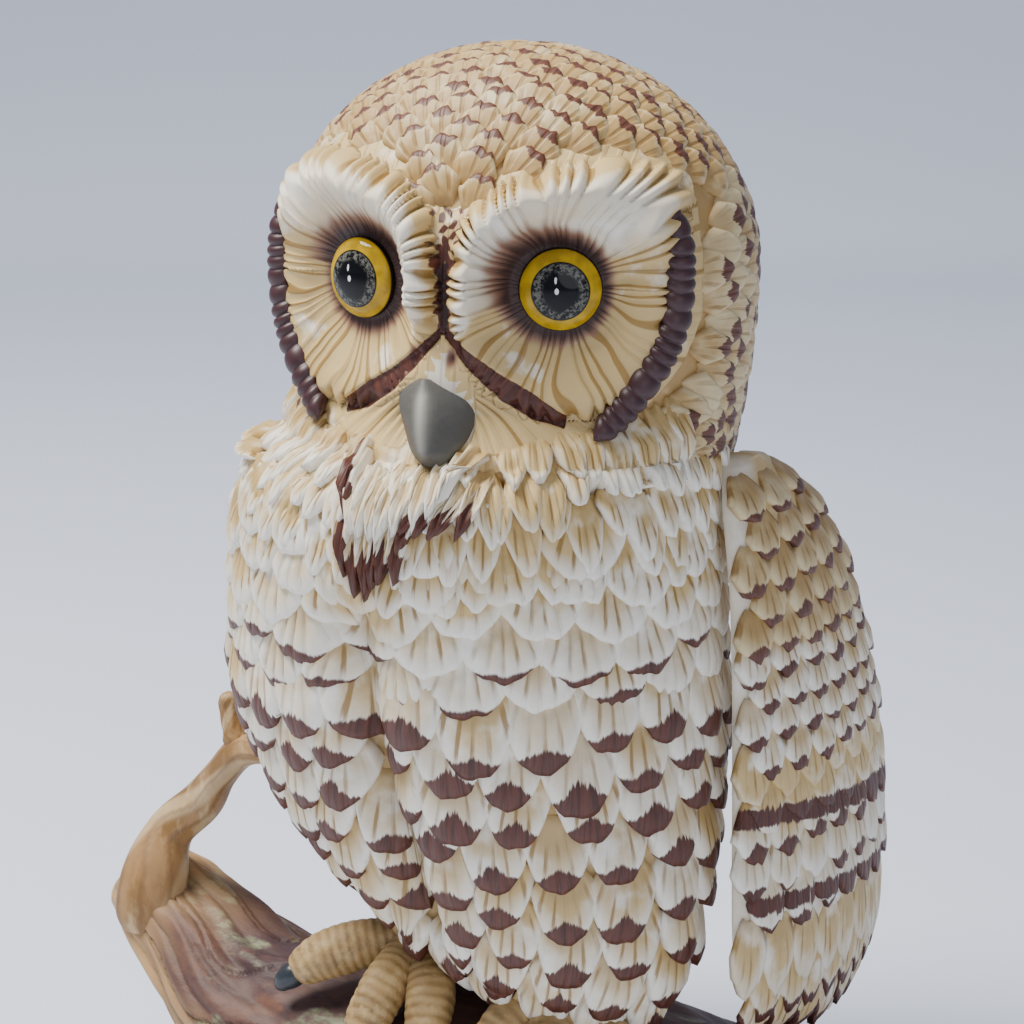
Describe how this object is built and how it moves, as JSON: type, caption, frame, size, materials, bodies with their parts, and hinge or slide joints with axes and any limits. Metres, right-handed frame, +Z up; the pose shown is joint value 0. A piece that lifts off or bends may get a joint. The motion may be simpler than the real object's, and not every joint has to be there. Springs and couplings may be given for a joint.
{
  "type": "owl figurine",
  "caption": "Bisque porcelain figurine of an owl with feathered body, round facial discs and half-open wings, perched on a sloping log with a forked twig.",
  "frame": {"origin": "a point on the flat underside of the limb, near its middle and below the owl's feet, on the table", "axes": "+Z up; -Y is the way the owl's breast faces; +X is the owl's left side, towards the limb's low end"},
  "size_m": [0.1673, 0.1079, 0.2258],
  "materials": {
    "white_bisque": "matte unglazed porcelain, white with an ochre wash and brown feather tips",
    "brown_paint": "matte dark brown ceramic paint",
    "eye_enamel": "glossy enamel: yellow iris round a black pupil",
    "beak_grey": "satin grey ceramic paint",
    "leg_tan": "matte tan wash, with slate-grey talons",
    "limb_brown": "matte dark brown wash with grey-green and orange-tan patches",
    "twig_tan": "matte tan wash over carved bark"
  },
  "bodies": {
    "root": {"beak": "beak_grey", "body": "white_bisque", "head": "white_bisque", "left_eye": "eye_enamel", "left_leg": "leg_tan", "left_ruff": "brown_paint", "left_toe_hind": "leg_tan", "left_toe_inner": "leg_tan", "left_toe_middle": "leg_tan", "left_toe_outer": "leg_tan", "left_wing": "white_bisque", "limb": "limb_brown", "right_eye": "eye_enamel", "right_leg": "leg_tan", "right_ruff": "brown_paint", "right_toe_hind": "leg_tan", "right_toe_inner": "leg_tan", "right_toe_middle": "leg_tan", "right_toe_outer": "leg_tan", "right_wing": "white_bisque", "tail": "white_bisque", "twig": "twig_tan", "twig_spur": "twig_tan"}
  },
  "joints": []
}
